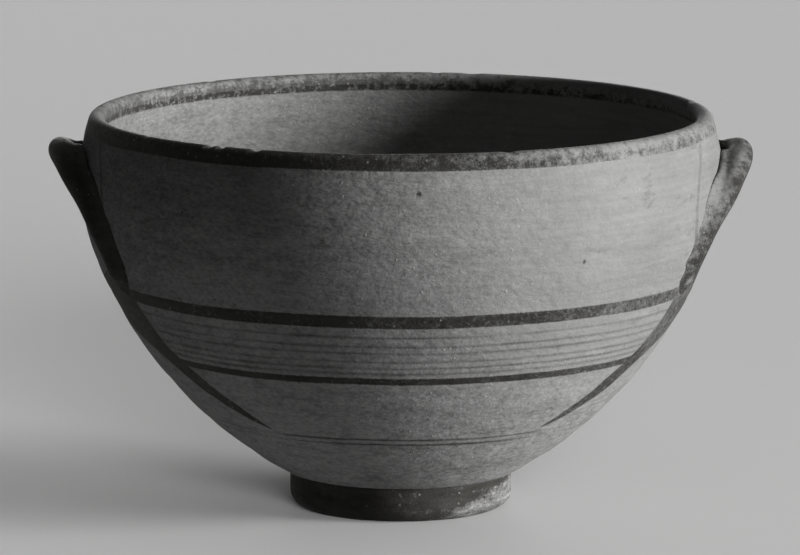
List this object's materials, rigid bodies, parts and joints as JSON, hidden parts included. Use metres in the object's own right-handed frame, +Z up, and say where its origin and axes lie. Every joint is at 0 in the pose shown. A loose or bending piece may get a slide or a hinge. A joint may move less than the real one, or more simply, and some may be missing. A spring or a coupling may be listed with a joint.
{
  "type": "skyphos cup",
  "caption": "Deep clay drinking cup with an incurved lip, a low ring foot and an upright loop handle at each side, painted with dark bands.",
  "frame": {"origin": "centre of the foot, on the surface that the cup stands on", "axes": "+Z up along the axis of the bowl, +X from the left handle to the right handle, -Y towards the front"},
  "size_m": [0.1818, 0.1654, 0.1027],
  "materials": {
    "painted_clay": "matte fired clay with dark slip-painted bands",
    "painted_foot": "dark matte slip, worn to the clay at the edges",
    "painted_handle": "dark matte slip, rubbed and mottled",
    "bare_clay": "matte fired clay"
  },
  "bodies": {
    "root": {"bowl": "painted_clay", "foot_ring": "painted_foot", "foot_luting": "bare_clay", "left_handle": "painted_handle", "right_handle": "painted_handle", "left_front_luting": "painted_handle", "left_rear_luting": "painted_handle", "right_front_luting": "painted_handle", "right_rear_luting": "painted_handle"}
  },
  "joints": []
}
